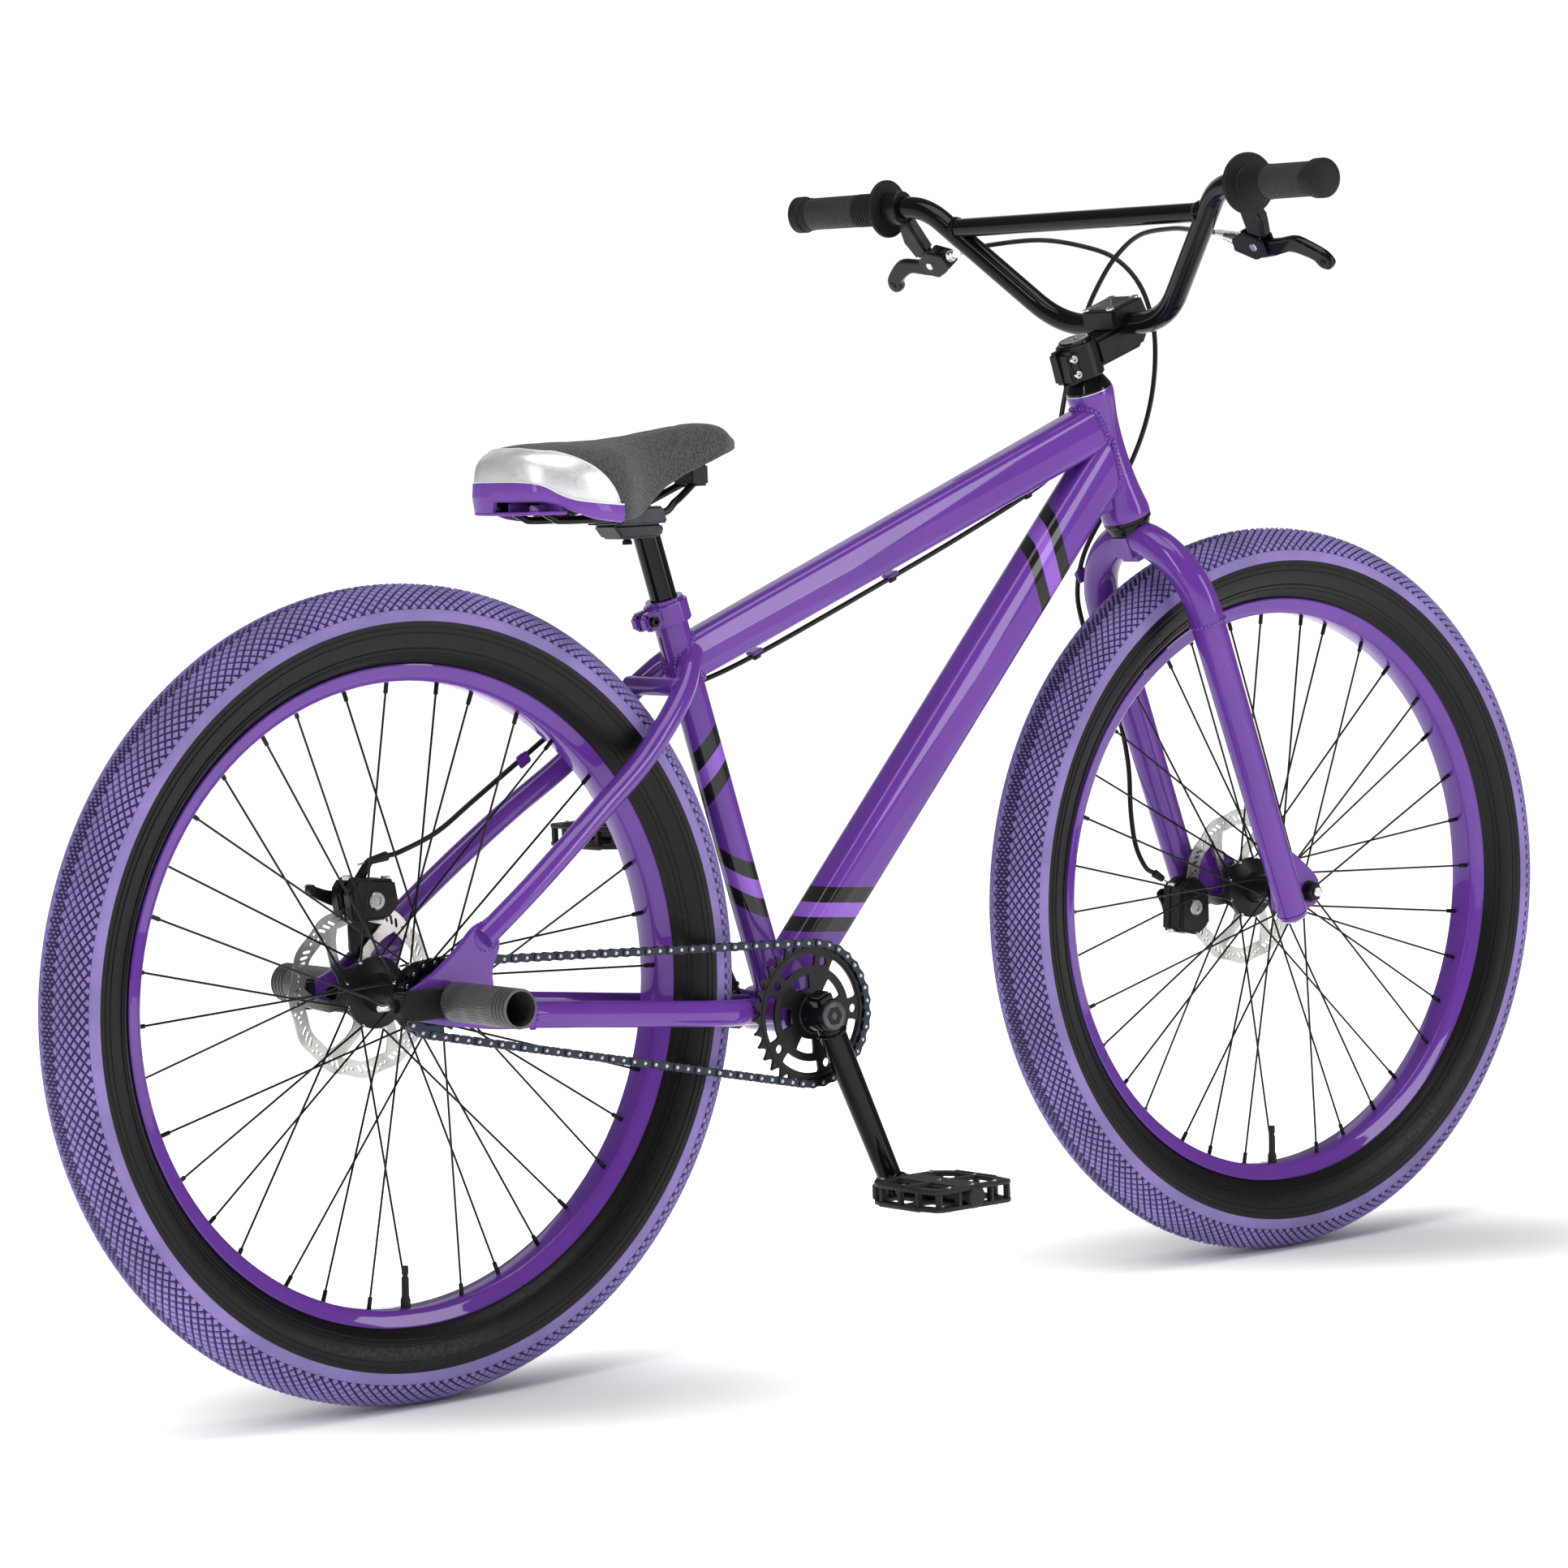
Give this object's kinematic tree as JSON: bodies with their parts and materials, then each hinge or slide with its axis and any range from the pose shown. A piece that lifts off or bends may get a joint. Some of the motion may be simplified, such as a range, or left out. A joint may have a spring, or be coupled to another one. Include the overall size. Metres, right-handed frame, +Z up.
{
  "type": "bmx bike",
  "caption": "Cruiser-sized BMX bicycle: box-section frame, straight fork, high handlebar with crossbar, fat tyres, disc brakes, chain drive, rear pegs and a padded saddle.",
  "frame": {"origin": "on the ground, midway between the two wheel contact points", "axes": "+X forward along the wheelbase, +Y to the rider's left, +Z up"},
  "size_m": [1.831, 0.7784, 1.1083],
  "materials": {
    "frame_paint": "gloss",
    "black_paint": "semi-gloss",
    "black_alloy": "anodised satin",
    "rotor_steel": "brushed",
    "bearing_steel": "ground",
    "chain_steel": "oiled",
    "spoke_steel": "satin",
    "tyre_rubber": "matte",
    "grip_rubber": "matte",
    "cable_sleeve": "satin",
    "pedal_plastic": "satin",
    "saddle_plastic": "gloss",
    "saddle_cover": "matte"
  },
  "bodies": {
    "frame": {"head_tube": "frame_paint", "top_tube": "frame_paint", "down_tube": "frame_paint", "seat_tube": "frame_paint", "bb_shell": "frame_paint", "chainstay_r": "frame_paint", "chainstay_l": "frame_paint", "seatstays": "frame_paint", "seat_clamp": "frame_paint", "seatpost": "black_alloy", "saddle_rails": "black_paint", "saddle_base": "saddle_plastic", "saddle_cover": "saddle_cover", "headset_upper": "black_paint", "headset_lower": "black_paint", "bb_bearings": "bearing_steel", "rear_axle": "black_paint", "peg_r": "black_paint", "peg_l": "black_paint", "chain_tensioner_r": "black_paint", "chain_tensioner_l": "black_paint", "rear_caliper": "black_alloy", "rear_brake_cable": "cable_sleeve", "chain": "chain_steel"},
    "rear_caliper_arm": {"rear_caliper_arm": "black_alloy"},
    "cranks": {"crank_spindle": "black_alloy", "crank_arm_r": "black_paint", "crank_arm_l": "black_paint", "sprocket": "black_paint"},
    "pedal_r": {"pedal_r": "pedal_plastic"},
    "pedal_l": {"pedal_l": "pedal_plastic"},
    "rear_wheel": {"rear_tyre": "tyre_rubber", "rear_rim": "frame_paint", "rear_spokes_r": "spoke_steel", "rear_spokes_l": "spoke_steel", "rear_hub": "black_alloy", "rear_rotor": "rotor_steel"},
    "freewheel": {"rear_cog": "chain_steel"},
    "fork": {"fork_crown": "frame_paint", "fork_leg_r": "frame_paint", "fork_leg_l": "frame_paint", "stem": "black_alloy", "bar_clamp": "black_alloy", "handlebar": "black_paint", "grip_r": "grip_rubber", "grip_l": "grip_rubber", "lever_perch_r": "black_alloy", "lever_perch_l": "black_alloy", "front_axle": "black_paint", "front_caliper": "black_alloy", "front_brake_cable": "cable_sleeve"},
    "front_caliper_arm": {"front_caliper_arm": "black_alloy"},
    "front_wheel": {"front_tyre": "tyre_rubber", "front_rim": "frame_paint", "front_spokes_r": "spoke_steel", "front_spokes_l": "spoke_steel", "front_hub": "black_alloy", "front_rotor": "rotor_steel"},
    "brake_lever_r": {"brake_lever_r": "black_alloy"},
    "brake_lever_l": {"brake_lever_l": "black_alloy"}
  },
  "joints": [
    {"name": "steering", "type": "hinge", "parent": "frame", "child": "fork", "pos_m": [0.361, 0, 0.7596], "axis": [-0.3337, 0, 0.9427], "range_deg": [-60, 60], "deforming": ["rear_brake_cable"]},
    {"name": "front_wheel_spin", "type": "hinge", "parent": "fork", "child": "front_wheel", "pos_m": [0.5455, 0, 0.37], "axis": [0, 1, 0], "continuous": true},
    {"name": "rear_wheel_spin", "type": "hinge", "parent": "frame", "child": "rear_wheel", "pos_m": [-0.5455, 0, 0.37], "axis": [0, 1, 0], "continuous": true},
    {"name": "crank_spin", "type": "hinge", "parent": "frame", "child": "cranks", "pos_m": [-0.11, 0, 0.312], "axis": [0, 1, 0], "continuous": true},
    {"name": "freewheel_spin", "type": "hinge", "parent": "frame", "child": "freewheel", "pos_m": [-0.5455, 0, 0.37], "axis": [0, 1, 0], "continuous": true},
    {"name": "pedal_r_spin", "type": "hinge", "parent": "cranks", "child": "pedal_r", "pos_m": [-0.0447, 0, 0.14426], "axis": [0, 1, 0], "continuous": true},
    {"name": "pedal_l_spin", "type": "hinge", "parent": "cranks", "child": "pedal_l", "pos_m": [-0.1753, 0, 0.47974], "axis": [0, 1, 0], "continuous": true},
    {"name": "brake_lever_r_pull", "type": "hinge", "parent": "fork", "child": "brake_lever_r", "pos_m": [0.3279, -0.237, 1.0176], "axis": [-0.841, 0, -0.541], "range_deg": [0, 18], "stiffness_Nm_per_rad": 1.5},
    {"name": "brake_lever_l_pull", "type": "hinge", "parent": "fork", "child": "brake_lever_l", "pos_m": [0.3279, 0.237, 1.0176], "axis": [0.841, 0, 0.541], "range_deg": [0, 18], "stiffness_Nm_per_rad": 1.5},
    {"name": "front_caliper_arm_pull", "type": "hinge", "parent": "fork", "child": "front_caliper_arm", "pos_m": [0.468, 0.0627, 0.356], "axis": [0, 1, 0], "range_deg": [0, 18]},
    {"name": "rear_caliper_arm_pull", "type": "hinge", "parent": "frame", "child": "rear_caliper_arm", "pos_m": [-0.536, 0.0817, 0.452], "axis": [0, 1, 0], "range_deg": [0, 18]}
  ],
  "couplings": [
    {"joint": "freewheel_spin", "follows": "crank_spin", "ratio": 2.0625},
    {"joint": "front_caliper_arm_pull", "follows": "brake_lever_l_pull", "ratio": 1},
    {"joint": "rear_caliper_arm_pull", "follows": "brake_lever_r_pull", "ratio": 1}
  ]
}
